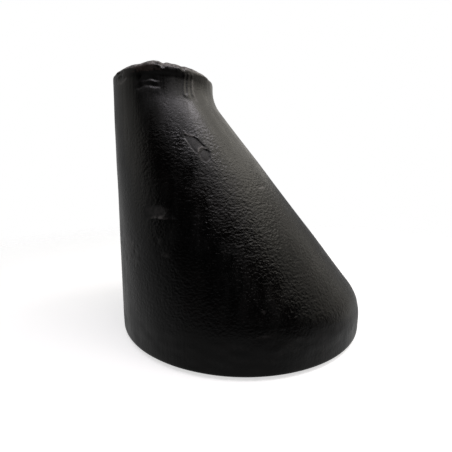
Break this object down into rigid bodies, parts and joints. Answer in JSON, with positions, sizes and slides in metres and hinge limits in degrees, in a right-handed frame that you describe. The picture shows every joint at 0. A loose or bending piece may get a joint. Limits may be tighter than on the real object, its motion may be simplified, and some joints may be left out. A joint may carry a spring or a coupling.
{
  "type": "eccentric reducer",
  "caption": "Hollow tapered steel pipe fitting with one straight side, bevelled at both ends for welding a large pipe to a small one.",
  "frame": {"origin": "centre of the large end's face, at the bottom of the part", "axes": "+Z along the pipe from the large end to the small end; -X towards the flat side, whose wall runs straight up parallel to Z; +X towards the sloping side; the XZ plane is the plane of symmetry"},
  "size_m": [0.108, 0.108, 0.102],
  "materials": {
    "black_paint": "satin black anti-rust paint over hot-formed steel"
  },
  "bodies": {
    "root": {"reducer_body": "black_paint"}
  },
  "joints": []
}
